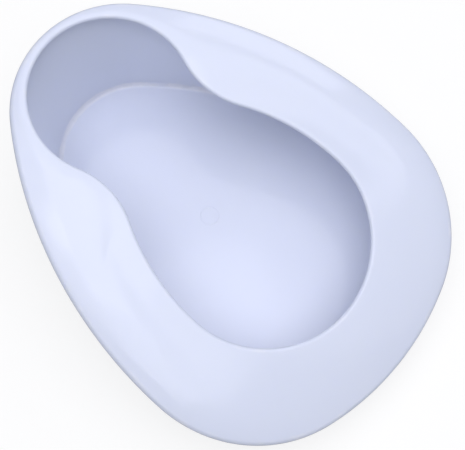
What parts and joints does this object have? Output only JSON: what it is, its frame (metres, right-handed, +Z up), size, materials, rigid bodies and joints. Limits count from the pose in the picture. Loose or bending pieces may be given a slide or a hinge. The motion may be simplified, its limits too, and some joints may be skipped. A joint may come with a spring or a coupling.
{
  "type": "bedpan",
  "caption": "Wedge-shaped adult bedpan in pale glossy plastic: an egg-shaped bowl with a flat base, and a wide contoured seat with a keyhole opening, joined round the outer edge.",
  "frame": {"origin": "under the middle of the pan, on the plane it stands on", "axes": "+Z up, +Y towards the narrow, tall end, +X to the right when facing that end"},
  "size_m": [0.3198, 0.4, 0.132],
  "materials": {
    "pan_plastic": "glossy"
  },
  "bodies": {
    "root": {"seat": "pan_plastic", "bowl": "pan_plastic"}
  },
  "joints": []
}
